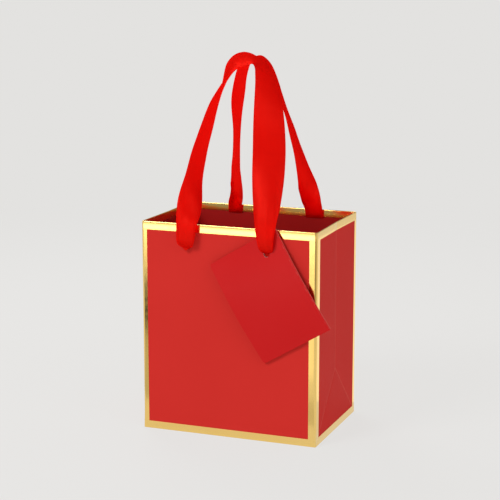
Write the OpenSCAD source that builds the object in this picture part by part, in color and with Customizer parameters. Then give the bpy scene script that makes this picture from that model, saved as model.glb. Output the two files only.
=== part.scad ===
// Small rigid gift bag: one folded card sleeve with a turned-in hem and foil borders, two rim
// boards, a loose base board, two satin ribbon handles and a folded tag on the front handle.
// The origin is the middle of the base. The front panel faces -Y and +Z is up.

/* [Bag] */
// Width of the front and back panels
bag_w = 138; // [110:1:200]
// Depth of the side gussets
bag_d = 96; // [70:1:140]
// Height from the base to the rim
bag_h = 160; // [130:1:240]
// Thickness of the folded card
card_t = 0.3; // [0.2:0.05:0.6]
// Height of the hem that is turned in at the rim
hem_h = 38; // [30:1:55]
// Width of the glued side seam
seam_w = 15; // [8:1:25]
// Overlap of the two large bottom flaps, each side of the middle
flap_lap = 12; // [6:1:20]
// Length of the two small bottom flaps
dust_flap_l = 40; // [20:1:45]

/* [Boards] */
// Thickness of the rim boards
rim_board_t = 1; // [0.6:0.1:2]
// Height of the rim boards
rim_board_h = 35; // [28:1:50]
// Gap between the ends of the rim boards and the upright folds
rim_board_gap = 1.6; // [0.4:0.1:4]
// Thickness of the loose base board
base_board_t = 1.2; // [0.8:0.1:3]
// Gap round the base board
base_board_gap = 1.5; // [0.5:0.1:4]

/* [Foil borders] */
// Thickness of the foil
foil_t = 0.06; // [0.04:0.01:0.2]
// Border along the rim
border_top = 6; // [3:0.1:12]
// Border along the base
border_bottom = 5.7; // [3:0.1:12]
// Border at the left of the front and back
border_left = 4.4; // [3:0.1:12]
// Border at the right of the front and back
border_right = 5.8; // [3:0.1:12]
// Border on each gusset beside the front
side_border_front = 7; // [3:0.1:12]
// Border on each gusset beside the back
side_border_back = 5.5; // [3:0.1:12]
// Border inside the rim
border_inner = 5.6; // [3:0.1:12]

/* [Ribbons] */
// Distance from the middle to each hole in the front panel
hole_x = 32; // [22:1:50]
// Distance from the rim down to each hole
hole_drop = 17; // [14:1:26]
// Radius of each punched hole
hole_r = 2.2; // [1.8:0.1:4]
// Clearance round the gathered ribbon in its hole
hole_gap = 0.3; // [0.2:0.1:1]
// Full width of the satin ribbon
ribbon_w = 24; // [12:1:30]
// Thickness of the ribbon with its soft folds
ribbon_t = 0.8; // [0.4:0.1:1.5]
// Radius of the knots inside the front panel
knot_r = 4.6; // [3.5:0.1:6]
// Height of the slits in the back hem
slit_h = 1.4; // [1:0.1:3]
// Width of the slits in the back hem
slit_w = 14.5; // [12:0.5:24]
// Distance from the middle to each slit, before the ribbon's sideways lie
slit_x = 33; // [22:0.5:50]
// How far the back ribbon lies to the right
slit_shift = 2.4; // [-4:0.1:4]
// Height of the ribbon ends that are glued behind the back hem
tab_h = 26; // [16:1:34]

/* [Tag] */
// Width of the folded tag
tag_w = 59; // [40:1:70]
// Height of the tag
tag_h = 83; // [60:1:100]
// Thickness of the tag card
tag_t = 0.4; // [0.3:0.05:0.8]
// Gap between the two leaves
leaf_gap = 0.6; // [0.3:0.1:2]
// Distance from the fold to the middle of the tag's hole
tag_hole_in = 14.5; // [8:0.5:20]
// Distance from the top edge to the middle of the tag's hole
tag_hole_down = 13.3; // [8:0.1:25]
// Radius of the tag's hole
tag_hole_r = 2.4; // [2:0.1:4]
// Distance from the fold to the line where the front leaf bends open
tag_bend_in = 26; // [20:1:36]
// Gap between the tag and the front panel
tag_gap = 0.8; // [0.4:0.1:3]
// Degrees that the tag hangs off upright
tag_tilt = 31; // [0:1:45]

/* [Hidden] */

card_red = [0.81, 0.19, 0.17];
inner_red = [0.5, 0.06, 0.06];
foil_gold = [0.93, 0.76, 0.42];
board_grey = [0.72, 0.68, 0.62];
ribbon_red = [0.84, 0.08, 0.06];
tag_red = [0.77, 0.15, 0.15];

over = 1;                                   // how far a cutter runs past what it cuts
half_w = bag_w / 2;
front_y = -bag_d / 2;
back_y = bag_d / 2;
in_x = half_w - card_t;                     // inner faces of the outer card
in_y = back_y - card_t;
board_x = in_x - rim_board_gap;
board_y = in_y - rim_board_t;               // inner faces of the two rim boards
back_hem_y = board_y - ribbon_t / 2;        // the glued ribbon ends lie between board and hem
front_hem_face = card_t - board_y;          // inner faces of the two long hems
back_hem_face = back_hem_y - card_t;
hem_z = bag_h - hem_h;
board_top = bag_h - card_t;
hole_z = bag_h - hole_drop;
slit_z = bag_h - border_inner - slit_h;     // lower edge of the slits
slit_at = [slit_shift - slit_x, slit_shift + slit_x];
seam_top = board_top - rim_board_h;
floor_z = 3 * card_t;                       // top of the folded bottom

gather_r = hole_r - hole_gap;               // radius of the ribbon where it is gathered
tag_back_y = front_y - tag_gap;             // rear face of the tag
tag_leaf_y = tag_back_y - tag_t - leaf_gap; // rear face of the front leaf
tag_front_y = tag_leaf_y - tag_t;
bend_gap = 0.3;                             // between the pinned margin and the opening flap
loop_gap = 0.8;                             // from each ribbon loop to the bag's middle plane

front_pivot_y = tag_front_y - ribbon_t / 2 - 0.8;   // line that the front handle swings on
back_pivot_y = back_hem_face - ribbon_t / 2 - 0.3;
back_pivot_z = bag_h + 1;

// Ribbon stations: [x, y, height above the rim, width, turn of the width about Z, tilt of its
// far edge]
front_left_run = [
    [-31.2, -51.0, -11.5, 14, 0, 0], [-31.0, -50.6, 0, 15.5, 2, 0],
    [-31.0, -47.0, 10, 18, 34, 0], [-30.6, -39.6, 29.5, 22.4, 74, 0],
    [-28.0, -32.9, 51.7, 24, 83, 0], [-23.4, -27.9, 72, 24, 88, 0], [-18.8, -24.4, 89.3, 24, 97, 0],
    [-13.4, -23.8, 100.6, 24, 108, 3], [-8.6, -22.0, 110.2, 24, 123, 6],
    [-4.4, -18.0, 116.4, 24, 123, 17]];
front_apex = [1.4, -13.0, 119.6, 24, 120, 21];
front_right_run = [
    [9.0, -10.6, 117.2, 24, 103, 9], [15.4, -11.8, 110, 24, 80, 0], [19.3, -16.5, 101.9, 24, 68, 0],
    [21.6, -21.5, 93.6, 24, 60, 0], [23.7, -26.0, 83.6, 24, 49, 0], [25.6, -30.2, 70.5, 24, 37, 0],
    [27.6, -35.3, 55, 24, 26, 0], [29.0, -41.0, 37, 23.2, 19, 0], [30.2, -46.8, 20, 20.4, 11, 0],
    [30.9, -51.0, 6.5, 16.8, 3, 0], [31.3, -51.4, -5.5, 13, 0, 0]];
back_left_run = [
    [-30.2, 44.9, 4.5, 11.2, 6, 0], [-30.0, 43.9, 8, 11.8, 44, 0], [-29.4, 41.6, 16, 15, 80, 0],
    [-28.2, 38.8, 26, 20, 94, 0], [-26.6, 35.9, 36.5, 24, 97, 0], [-24.5, 32.3, 47.5, 24, 99, 0],
    [-21.6, 27.0, 66.2, 24, 97, 0], [-19.0, 21.2, 87.4, 24, 87, 0], [-16.2, 17.4, 102, 24, 89, 0],
    [-10.6, 14.2, 114, 24, 90, 0]];
back_apex = [-1.8, 12.8, 119.4, 24, 90, 0];
back_right_run = [
    [7.0, 14.8, 112.5, 24, 93, 0], [13.4, 19.4, 97.5, 24, 100, 0], [17.8, 24.3, 80, 24, 106, 0],
    [22.2, 28.4, 63.3, 24, 99, 0], [25.8, 33.0, 46.1, 24, 94, 0], [29.2, 37.8, 28, 20.5, 78, 0],
    [31.8, 41.8, 14, 16, 46, 0], [34.0, 44.3, 7, 14.2, 12, 0], [34.8, 44.9, 4, 12.6, 3, 0]];
run_steps = 3;                              // rings between two stations
laid_hole_x = 32;                           // the sizes that the loops were laid out for
laid_drop = 18;
laid_w = 24;
laid_apex_y = 12.8;
laid_front_y = -51.4;
laid_back_y = 45.3;

function along(a, b, c, d, t) = 0.5 * (2 * b + (c - a) * t + (2 * a - 5 * b + 4 * c - d) * t * t
    + (3 * b - a - 3 * c + d) * t * t * t);
function smooth(p) = let (n = len(p) - 1) [
    for (i = [0 : n - 1]) for (k = [0 : run_steps - 1])
        along(p[max(i - 1, 0)], p[i], p[i + 1], p[min(i + 2, n)], k / run_steps),
    p[n]];
function unit(v) = v / norm(v);
function first3(s) = [s[0], s[1], s[2]];
function tangent(s, i) = unit(first3(s[min(i + 1, len(s) - 1)]) - first3(s[max(i - 1, 0)]));
function across(s, i) = let (t = tangent(s, i), turn = s[i][4], tilt = s[i][5],
        a = [cos(turn) * cos(tilt), sin(turn) * cos(tilt), sin(tilt)])
    unit(a - (a * t) * t);
// A loop laid out by hand, moved to this bag's holes, rim, depth and ribbon width
function fit_run(run, laid_y, pivot_y) = let (
    apex_y = ribbon_w / 2 + loop_gap,
    spread = (abs(pivot_y) - apex_y) / (abs(laid_y) - laid_apex_y)) [for (s = run) [
        s[0] * hole_x / laid_hole_x,
        sign(pivot_y) * (apex_y + (abs(s[1]) - laid_apex_y) * spread),
        bag_h + s[2] * (s[2] < 0 ? hole_drop / laid_drop : 1),
        s[3] * ribbon_w / laid_w,
        s[4],
        s[5]]];

// A flat ribbon swept along its stations
module ribbon(stations) {
    s = smooth(stations);
    n = len(s);
    points = [for (i = [0 : n - 1]) let (w = across(s, i) * s[i][3] / 2,
        h = cross(tangent(s, i), across(s, i)) * ribbon_t / 2, p = first3(s[i]))
        each [p - w - h, p + w - h, p + w + h, p - w + h]];
    sides = [for (i = [0 : n - 2]) for (k = [0 : 3]) let (a = 4 * i + k, b = 4 * i + (k + 1) % 4)
        each [[a, a + 4, b], [b, a + 4, b + 4]]];
    last = 4 * (n - 1);
    ends = [[0, 1, 2], [0, 2, 3], [last, last + 2, last + 1], [last, last + 3, last + 2]];
    polyhedron(points = points, faces = concat(sides, ends), convexity = 8);
}

module block(x0, x1, y0, y1, z0, z1) translate([x0, y0, z0]) cube([x1 - x0, y1 - y0, z1 - z0]);

module front_holes(r) for (side = [-1, 1])
    translate([side * hole_x, front_y - over, hole_z]) rotate([-90, 0, 0])
        cylinder(r = r, h = bag_d / 2, $fn = 48);

module front_panel() color(card_red) difference() {
    block(-half_w, half_w, front_y, -in_y, 0, bag_h);
    front_holes(hole_r);
}

module back_panel() color(card_red) block(-half_w, half_w, in_y, back_y, 0, bag_h);

module gusset(side) color(card_red) mirror([side < 0 ? 0 : 1, 0, 0])
    block(-half_w, -in_x, -in_y, in_y, 0, bag_h);
module left_gusset() gusset(-1);
module right_gusset() gusset(1);

module side_seam_tab() color(card_red)
    block(-in_x, -in_x + seam_w, in_y - card_t, in_y, floor_z, seam_top);

// The front flap steps up over the edge of the back flap
module front_bottom_flap() color(card_red)
    translate([-in_x, 0, 0]) rotate([90, 0, 90]) linear_extrude(2 * in_x)
        polygon([[-in_y, 0], [-flap_lap, 0], [-flap_lap, card_t], [flap_lap, card_t],
            [flap_lap, 2 * card_t], [-flap_lap - card_t, 2 * card_t],
            [-flap_lap - card_t, card_t], [-in_y, card_t]]);
module back_bottom_flap() color(card_red) block(-in_x, in_x, -flap_lap, in_y, 0, card_t);

module dust_flap(side) color(card_red) mirror([side < 0 ? 0 : 1, 0, 0])
    translate([-in_x, 0, 2 * card_t]) linear_extrude(card_t) intersection() {
        polygon([[0, -in_y], [in_y, 0], [0, in_y]]);
        translate([0, -in_y + card_t]) square([dust_flap_l, 2 * (in_y - card_t)]);
    }
module left_bottom_flap() dust_flap(-1);
module right_bottom_flap() dust_flap(1);

module front_hem() color(inner_red) difference() {
    union() {
        block(-in_x, in_x, -board_y, front_hem_face, hem_z, bag_h);
        block(-in_x, in_x, -in_y, front_hem_face, board_top, bag_h);
    }
    front_holes(hole_r);
}
module back_hem() color(inner_red) difference() {
    union() {
        block(-in_x, in_x, back_hem_face, back_hem_y, hem_z, bag_h);
        block(-in_x, in_x, back_hem_face, in_y, board_top, bag_h);
    }
    for (x = slit_at) block(x - slit_w / 2, x + slit_w / 2,
        back_hem_y - over, back_hem_y + over / 4, slit_z, slit_z + slit_h);
}
module side_hem(side) color(inner_red) mirror([side < 0 ? 0 : 1, 0, 0])
    block(-in_x, -in_x + card_t, front_hem_face, back_hem_face, hem_z, bag_h);
module left_hem() side_hem(-1);
module right_hem() side_hem(1);

module front_rim_board() color(board_grey) difference() {
    block(-board_x, board_x, -in_y, -board_y, board_top - rim_board_h, board_top);
    front_holes(hole_r);
}
module back_rim_board() color(board_grey)
    block(-board_x, board_x, board_y, in_y, board_top - rim_board_h, board_top);

// A thin frame in the XZ plane, standing out from y = 0 towards -Y
module foil_frame(width, left, right) color(foil_gold) difference() {
    block(-width / 2, width / 2, -foil_t, 0, 0, bag_h);
    block(-width / 2 + left, width / 2 - right, -foil_t - over, over,
        border_bottom, bag_h - border_top);
}
module front_foil_frame() translate([0, front_y, 0]) foil_frame(bag_w, border_left, border_right);
module back_foil_frame() translate([0, back_y, 0]) rotate([0, 0, 180])
    foil_frame(bag_w, border_left, border_right);
module right_foil_frame() translate([half_w, 0, 0]) rotate([0, 0, 90])
    foil_frame(bag_d, side_border_front, side_border_back);
module left_foil_frame() mirror([1, 0, 0]) right_foil_frame();

module inner_foil_band() color(foil_gold) difference() {
    block(card_t - in_x, in_x - card_t, front_hem_face, back_hem_face,
        bag_h - border_inner, bag_h);
    block(card_t - in_x + foil_t, in_x - card_t - foil_t, front_hem_face + foil_t,
        back_hem_face - foil_t, bag_h - border_inner - over, bag_h + over);
}

// The gathered ribbon runs from its knot, through the holes, to the line it swings on
module ribbon_tail(side) color(ribbon_red)
    translate([side * hole_x, front_pivot_y, hole_z]) {
        sphere(r = gather_r, $fn = 32);
        rotate([-90, 0, 0])
            cylinder(r = gather_r, h = front_hem_face - front_pivot_y, $fn = 32);
    }
module front_left_ribbon_tail() ribbon_tail(-1);
module front_right_ribbon_tail() ribbon_tail(1);

// A round knot, flat where it is drawn against the hem
module knot(side) color(ribbon_red)
    translate([side * hole_x, front_hem_face, hole_z]) rotate([-90, 0, 0])
        rotate_extrude($fn = 32) polygon([[0, 0],
            for (a = [-30 : 15 : 75]) knot_r * [cos(a), sin(a) + 0.5], [0, 1.5 * knot_r]]);
module front_left_knot() knot(-1);
module front_right_knot() knot(1);

// The ribbon's glued end, its way through the slit, and its rise to the rim
module ribbon_tab(x) color(ribbon_red) {
    tab_w = slit_w - 1;
    rise_y = back_hem_face - foil_t - 0.1;
    mid_z = slit_z + slit_h / 2;
    translate([x, 0, 0]) {
        block(-tab_w / 2, tab_w / 2, back_hem_y, back_hem_y + ribbon_t / 2,
            mid_z - tab_h, mid_z + ribbon_t / 4);
        block(-tab_w / 2, tab_w / 2, rise_y - ribbon_t / 2, back_hem_y,
            mid_z - ribbon_t / 4, mid_z + ribbon_t / 4);
        block(-tab_w / 2, tab_w / 2, rise_y - ribbon_t / 2, rise_y,
            mid_z - ribbon_t / 4, bag_h);
    }
}
module back_left_ribbon_tab() ribbon_tab(slit_at[0]);
module back_right_ribbon_tab() ribbon_tab(slit_at[1]);

module base_board() color(board_grey) block(
    -in_x + card_t + base_board_gap, in_x - card_t - base_board_gap,
    front_hem_face + base_board_gap, back_hem_face - base_board_gap,
    floor_z, floor_z + base_board_t);

module front_handle() color(ribbon_red) {
    foot = [laid_hole_x, laid_front_y, (gather_r + 0.4 - hole_drop) * laid_drop / hole_drop,
        4 * gather_r * laid_w / ribbon_w, 0, 0];
    ribbon(fit_run(concat([[-foot[0], foot[1], foot[2], foot[3], 0, 0]], front_left_run,
        [front_apex], front_right_run, [foot]), laid_front_y, front_pivot_y));
}
module back_handle() color(ribbon_red) {
    foot_z = back_pivot_z + 0.5 - bag_h;
    foot_w = (slit_w - 3) * laid_w / ribbon_w;
    ribbon(fit_run(concat([[-30.4, laid_back_y, foot_z, foot_w, 0, 0]], back_left_run,
        [back_apex], back_right_run, [[35.1, laid_back_y, foot_z, foot_w, 0, 0]]),
        laid_back_y, back_pivot_y));
}

// The tag is drawn level about its hole and then turned to hang
module hang_tag() translate([hole_x, 0, hole_z]) rotate([0, -tag_tilt, 0]) children();
module tag_leaf(x0, x1, y0) difference() {
    block(x0, x1, y0 - tag_t, y0, tag_hole_down - tag_h, tag_hole_down);
    translate([0, y0 - tag_t - over, 0]) rotate([-90, 0, 0])
        cylinder(r = tag_hole_r, h = tag_t + 2 * over, $fn = 48);
}
module tag_back_leaf() color(tag_red) hang_tag()
    tag_leaf(tag_hole_in - tag_w, tag_hole_in - tag_t, tag_back_y);
module tag_fold() color(tag_red) hang_tag()
    block(tag_hole_in - tag_t, tag_hole_in, tag_front_y, tag_back_y,
        tag_hole_down - tag_h, tag_hole_down);
module tag_front_margin() color(tag_red) hang_tag()
    tag_leaf(tag_hole_in - tag_bend_in, tag_hole_in - tag_t, tag_leaf_y);
module tag_front_flap() color(tag_red) hang_tag()
    block(tag_hole_in - tag_w, tag_hole_in - tag_bend_in - bend_gap, tag_front_y, tag_leaf_y,
        tag_hole_down - tag_h, tag_hole_down);

front_panel();
back_panel();
left_gusset();
right_gusset();
side_seam_tab();
front_bottom_flap();
back_bottom_flap();
left_bottom_flap();
right_bottom_flap();
front_hem();
back_hem();
left_hem();
right_hem();
front_rim_board();
back_rim_board();
front_foil_frame();
back_foil_frame();
left_foil_frame();
right_foil_frame();
inner_foil_band();
front_left_ribbon_tail();
front_right_ribbon_tail();
front_left_knot();
front_right_knot();
back_left_ribbon_tab();
back_right_ribbon_tab();
base_board();
front_handle();
back_handle();
tag_back_leaf();
tag_fold();
tag_front_margin();
tag_front_flap();
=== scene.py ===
import math

import bmesh
import bpy
from mathutils import Matrix, Vector


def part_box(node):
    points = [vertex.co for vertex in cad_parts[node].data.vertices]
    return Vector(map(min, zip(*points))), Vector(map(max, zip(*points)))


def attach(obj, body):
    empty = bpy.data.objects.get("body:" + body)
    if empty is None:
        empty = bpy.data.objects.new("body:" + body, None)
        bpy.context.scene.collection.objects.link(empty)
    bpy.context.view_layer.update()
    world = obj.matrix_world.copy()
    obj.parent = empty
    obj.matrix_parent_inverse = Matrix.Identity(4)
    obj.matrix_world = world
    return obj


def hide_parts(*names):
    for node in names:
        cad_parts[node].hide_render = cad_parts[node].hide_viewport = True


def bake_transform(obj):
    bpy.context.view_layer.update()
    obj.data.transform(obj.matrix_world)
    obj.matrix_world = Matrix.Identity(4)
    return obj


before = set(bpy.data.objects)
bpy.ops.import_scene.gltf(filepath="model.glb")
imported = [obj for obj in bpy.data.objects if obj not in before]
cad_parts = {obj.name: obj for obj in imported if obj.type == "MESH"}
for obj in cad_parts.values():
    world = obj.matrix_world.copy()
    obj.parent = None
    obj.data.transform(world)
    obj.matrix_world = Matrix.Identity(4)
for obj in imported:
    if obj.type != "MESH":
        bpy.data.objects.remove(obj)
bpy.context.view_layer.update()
mm = 0.001


def addObject(name, data):
    made = bpy.data.objects.new(name, data)
    bpy.context.scene.collection.objects.link(made)
    return made


def fillInputs(tree, node, inputs):
    # Links the values that are sockets and sets the others
    for key, value in inputs.items():
        if isinstance(value, bpy.types.NodeSocket):
            tree.links.new(value, node.inputs[key])
        else:
            node.inputs[key].default_value = value


def addNode(tree, kind, inputs=None, **settings):
    node = tree.nodes.new(kind)
    for key, value in settings.items():
        setattr(node, key, value)
    fillInputs(tree, node, inputs or {})
    return node


def addMath(tree, operation, *values, **settings):
    return addNode(tree, "ShaderNodeMath", dict(enumerate(values)), operation=operation,
                   **settings).outputs[0]


def addVector(tree, operation, *values, scale=None):
    inputs = dict(enumerate(values))
    if scale is not None:
        inputs["Scale"] = scale
    node = addNode(tree, "ShaderNodeVectorMath", inputs, operation=operation)
    return node.outputs["Value" if operation == "LENGTH" else "Vector"]


def mapRange(tree, value, start, end, low=0.0, high=1.0, **settings):
    inputs = {"Value": value, "From Min": start, "From Max": end, "To Min": low, "To Max": high}
    return addNode(tree, "ShaderNodeMapRange", inputs, **settings).outputs[0]


def addNoise(tree, place, scale, detail):
    inputs = {"Vector": place, "Scale": scale, "Detail": detail}
    return addNode(tree, "ShaderNodeTexNoise", inputs).outputs["Fac"]


def addBump(tree, height, distance, strength=1.0, **inputs):
    inputs.update({"Height": height, "Distance": distance, "Strength": strength})
    return addNode(tree, "ShaderNodeBump", inputs).outputs["Normal"]


def addGroup(tree, group, place, **inputs):
    return addNode(tree, "ShaderNodeGroup", {"Vector": place, **inputs}, node_tree=group).outputs


def mixColour(tree, factor, low, high):
    # Sockets 0, 6 and 7 are the factor and the two colours of a colour mix
    inputs = {0: factor}
    for key, value in ((6, low), (7, high)):
        inputs[key] = value if isinstance(value, bpy.types.NodeSocket) else (*value, 1)
    return addNode(tree, "ShaderNodeMix", inputs, data_type="RGBA").outputs[2]


def addShader(tree, kind, colour, **inputs):
    return addNode(tree, "ShaderNode" + kind, {"Color": (*colour, 1), **inputs}).outputs[0]


def mixShaders(tree, factor, first, second):
    return addNode(tree, "ShaderNodeMixShader", {"Fac": factor, 1: first, 2: second}).outputs[0]


def objectPlace(tree):
    return addNode(tree, "ShaderNodeTexCoord").outputs["Object"]


def newMaterial(name):
    material = bpy.data.materials.new(name)
    material.use_nodes = True
    tree = material.node_tree
    return material, tree, tree.nodes["Principled BSDF"]


def setSurface(tree, surface):
    tree.links.new(surface, tree.nodes["Material Output"].inputs["Surface"])


def newGroup(name, treeKind, inputs, outputs):
    # A node tree with named sockets; an input may carry its starting value
    group = bpy.data.node_groups.new(name, treeKind)
    for label, kind, *value in inputs:
        socket = group.interface.new_socket(label, in_out="INPUT", socket_type="NodeSocket" + kind)
        if value:
            socket.default_value = value[0]
    for label, kind in outputs:
        group.interface.new_socket(label, in_out="OUTPUT", socket_type="NodeSocket" + kind)
    given, out = (group.nodes.new("NodeGroup" + end) for end in ("Input", "Output"))
    return group, given.outputs, out.inputs


camera = {
    "place": (405.95, -1059.26, 361.66),  # mm
    "turn": 21.007,  # degrees to the right of straight on
    "drop": 11.355,  # degrees below level
    "lens": 109.53,  # mm
    "film": 36,  # mm
    "clip": (0.05, 50),  # metres
}
studio = {
    "backdrop": (0.768, 0.760, 0.745),
    "skyColour": (1, 0.985, 0.96),
    "skyTop": 0.50,
    "skySide": 0.30,
    "skyHeight": 0.9,  # upward part of a direction at which the sky is at its brightest
    "aim": (0, 0, 0.12),  # metres, where the lights point
    "floorSize": 12,  # metres
    "floorFade": (0.3, 1.0),  # metres from the bag over which the table turns into backdrop
    "floorGlow": 0.70,
    "floorTint": 0.085,
    "cardColour": (0.015, 0.012, 0.01),
    "cardGlow": (1, 0.97, 0.9),
}
# Lights: place and size in mm, power in watts
studioLights = {
    "keyLight": ((-700, -1250, 1250), 650, 17),
    "fillLight": ((1300, -500, 700), 700, 3.4),
    "backLight": ((-800, 900, 900), 700, 9),
}
# Cards that only the gold and the satin see: place of the middle and size in mm, turn about Z
# in degrees, brightness
studioCards = {
    "farCard": ((-760, -1935, 4), (1700, 2280), 0, 3.3),
    "paleCard": ((-80, -470, 4), (150, 560), -18.6, 1.1),
    "darkCard": ((-234, -418, 3), (240, 235), -24, 0.0),
    "shadeCard": ((-143, -205, 3), (170, 220), -24, 0.52),
    "nearCard": ((48, -118, 3), (90, 60), 0, 0.6),
    "sideCard": ((225, 430, 4), (220, 800), -16.5, 1.05),
    "cornerCard": ((497, -531, 3), (760, 520), 41.6, 0.28),
}


def makeCamera():
    data = bpy.data.cameras.new("camera")
    data.lens, data.sensor_width = camera["lens"], camera["film"]
    data.clip_start, data.clip_end = camera["clip"]
    cam = addObject("camera", data)
    turn, drop = math.radians(camera["turn"]), math.radians(camera["drop"])
    level = math.cos(drop)
    back = Vector((math.sin(turn) * level, -math.cos(turn) * level, math.sin(drop)))
    right = Vector((math.cos(turn), math.sin(turn), 0))
    axes = Matrix((right, back.cross(right), back)).transposed().to_4x4()
    cam.matrix_world = Matrix.Translation(Vector(camera["place"]) * mm) @ axes
    bpy.context.scene.camera = cam


def softBox(name, place, size, power):
    data = bpy.data.lights.new(name, "AREA")
    data.size, data.energy = size * mm, power
    light = addObject(name, data)
    light.location = Vector(place) * mm
    way = Vector(studio["aim"]) - light.location
    light.rotation_euler = way.to_track_quat("-Z", "Y").to_euler()


def addPlane(name, size, material):
    bpy.ops.mesh.primitive_plane_add(size=size)
    plane = bpy.context.object
    plane.name = name
    plane.data.materials.append(material)
    return plane


def makeFloorMaterial():
    # A lit table: it glows evenly, takes a faint shadow near the bag, and meets the backdrop
    material, tree, shader = newMaterial("paleFloor")
    tree.nodes.remove(shader)
    away = addVector(tree, "LENGTH", objectPlace(tree))
    near = mapRange(tree, away, *studio["floorFade"], 1.0, 0.0, interpolation_type="SMOOTHSTEP")
    diffuse = addShader(tree, "BsdfDiffuse", (studio["floorTint"],) * 3)
    glow = tuple(c * studio["floorGlow"] / studio["backdrop"][1] for c in studio["backdrop"])
    lit, far = (addShader(tree, "Emission", colour) for colour in (glow, studio["backdrop"]))
    table = addNode(tree, "ShaderNodeAddShader", {0: diffuse, 1: lit})
    setSurface(tree, mixShaders(tree, near, far, table.outputs[0]))
    return material


def makeStudioCard(name, place, size, turn, glow):
    material, tree, shader = newMaterial(name)
    fillInputs(tree, shader, {
        "Base Color": (*studio["cardColour"], 1), "Specular IOR Level": 0,
        "Emission Color": (*studio["cardGlow"], 1), "Emission Strength": glow})
    plane = addPlane(name, 1, material)
    plane.data.transform(Matrix.Translation(Vector(place) * mm)
                         @ Matrix.Rotation(math.radians(turn), 4, "Z")
                         @ Matrix.Diagonal((size[0] * mm, size[1] * mm, 1, 1)))
    plane.visible_camera = plane.visible_diffuse = plane.visible_shadow = False
    return plane


def makeStudio():
    scene = bpy.context.scene
    scene.view_settings.view_transform = "Standard"
    world = bpy.data.worlds.new("studio")
    scene.world = world
    world.use_nodes = True
    tree = world.node_tree
    tree.nodes.clear()
    seen = addShader(tree, "Background", studio["backdrop"])
    direction = addNode(tree, "ShaderNodeTexCoord").outputs["Generated"]
    height = addNode(tree, "ShaderNodeSeparateXYZ", {0: direction}).outputs["Z"]
    sky = mapRange(tree, height, 0.0, studio["skyHeight"], studio["skySide"], studio["skyTop"])
    light = addShader(tree, "Background", studio["skyColour"], Strength=sky)
    rays = addNode(tree, "ShaderNodeLightPath").outputs["Is Camera Ray"]
    addNode(tree, "ShaderNodeOutputWorld", {"Surface": mixShaders(tree, rays, light, seen)})
    for name, values in studioLights.items():
        softBox(name, *values)
    floor = addPlane("floor", studio["floorSize"], makeFloorMaterial())
    [makeStudioCard(name, *values) for name, values in studioCards.items()]


def makeFibreGroup():
    # Pressed paper fibre: short streaks and a soft cloudiness, in object coordinates
    group, given, out = newGroup("paperFibre", "ShaderNodeTree", [
        ("Vector", "Vector"), ("Fibre Scale", "Float", 900.0), ("Cloud Scale", "Float", 16.0)], [
        ("Height", "Float"), ("Cloud", "Float")])
    streak = addNode(group, "ShaderNodeMapping", {"Vector": given["Vector"], "Scale": (1, 1, 0.35)})
    group.links.new(addNoise(group, streak.outputs[0], given["Fibre Scale"], 4.0), out["Height"])
    group.links.new(addNoise(group, given["Vector"], given["Cloud Scale"], 3.0), out["Cloud"])
    return group


def makeWearAndHighlightGroup():
    # Rubbed folds and edges, and a painted highlight along the tag's fold: the attribute that marks
    # them, broken up by noise
    group, given, out = newGroup("foldWearAndHighlight", "ShaderNodeTree", [
        ("Vector", "Vector"), ("Amount", "Float", 0.5)], [("Mask", "Float")])
    wearAndHighlight = addNode(group, "ShaderNodeAttribute", attribute_name="wearAndHighlight").outputs["Fac"]
    broken = addMath(group, "MULTIPLY_ADD", addNoise(group, given["Vector"], 700.0, 2.0), 0.8, 0.55)
    amount = addMath(group, "MULTIPLY", wearAndHighlight, given["Amount"])
    mask = addMath(group, "MULTIPLY", amount, broken, use_clamp=True)
    group.links.new(mask, out["Mask"])
    return group


noiseBand = (0.3, 0.7)  # nearly all the values of a noise lie between these
paperBase = {"fibre": 900.0, "grain": 0.012, "mix": "Cloud", "gloss": 0.5, "wearAndHighlight": 0.62}
paperFinish = {
    "bagCard": {"dark": (0.615, 0.029, 0.023), "light": (0.665, 0.033, 0.027),
                "wornAndHighlightColour": (0.8, 0.2, 0.15), "roughness": (0.50, 0.61), "gloss": 0.012},
    # the tag card's paler fold colour is a painted highlight on the rounded spine, partly rubbed card
    "tagCard": {"dark": (0.56, 0.004, 0.005), "light": (0.62, 0.008, 0.009),
                "wornAndHighlightColour": (0.85, 0.28, 0.24), "roughness": (0.31, 0.42), "gloss": 0.13},
    # the same red card as bagCard, painted darker as the shade inside the bag and on the hem
    "innerCardPaintedShade": {"dark": (0.34, 0.004, 0.004), "light": (0.38, 0.006, 0.005),
                "wornAndHighlightColour": (0.5, 0.1, 0.08), "roughness": (0.50, 0.61), "gloss": 0.2},
    "cardCore": {"dark": (0.80, 0.62, 0.58), "light": (0.90, 0.80, 0.76), "roughness": (0.8, 0.8),
                 "mix": "Height", "grain": 0.03},
    "greyBoard": {"dark": (0.38, 0.34, 0.28), "light": (0.47, 0.43, 0.36),
                  "roughness": (0.85, 0.85), "fibre": 420.0, "grain": 0.08,
                  "fleck": (0.2, 0.17, 0.13), "fleckScale": 650.0, "fleckBand": (0.62, 0.72)},
}
foilFinish = {
    "dark": (0.94, 0.62, 0.18), "light": (0.98, 0.70, 0.24), "wornAndHighlightColour": (0.99, 0.88, 0.62),
    "roughness": (0.14, 0.18), "grainScale": 260.0, "wearAndHighlight": 0.35,
    "rippleScale": 22.0, "ripple": 0.12, "rippleShare": 0.6,
}
satinFinish = {
    "dark": (0.88, 0.003, 0.001), "light": (0.95, 0.005, 0.002), "cloudScale": 24.0,
    "threadDark": (0.7, 0.002, 0.001), "threadLight": (1.0, 0.012, 0.008), "threadShare": 0.3,
    "threads": (9.0, 0.5, 1),  # noise cells for each mm across and along
    "weft": 0.42, "weftShare": 0.12,  # mm between cross threads
    "selvedge": (11.2, 11.5), "cord": 0.08,  # mm from the middle, mm high
    "weave": 0.035,  # mm
    "roughness": (0.36, 0.5),
    "through": (1.0, 0.014, 0.006), "throughShare": 0.7,
    "gloss": (1.0, 0.045, 0.025), "glossShare": 0.13,
}


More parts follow.
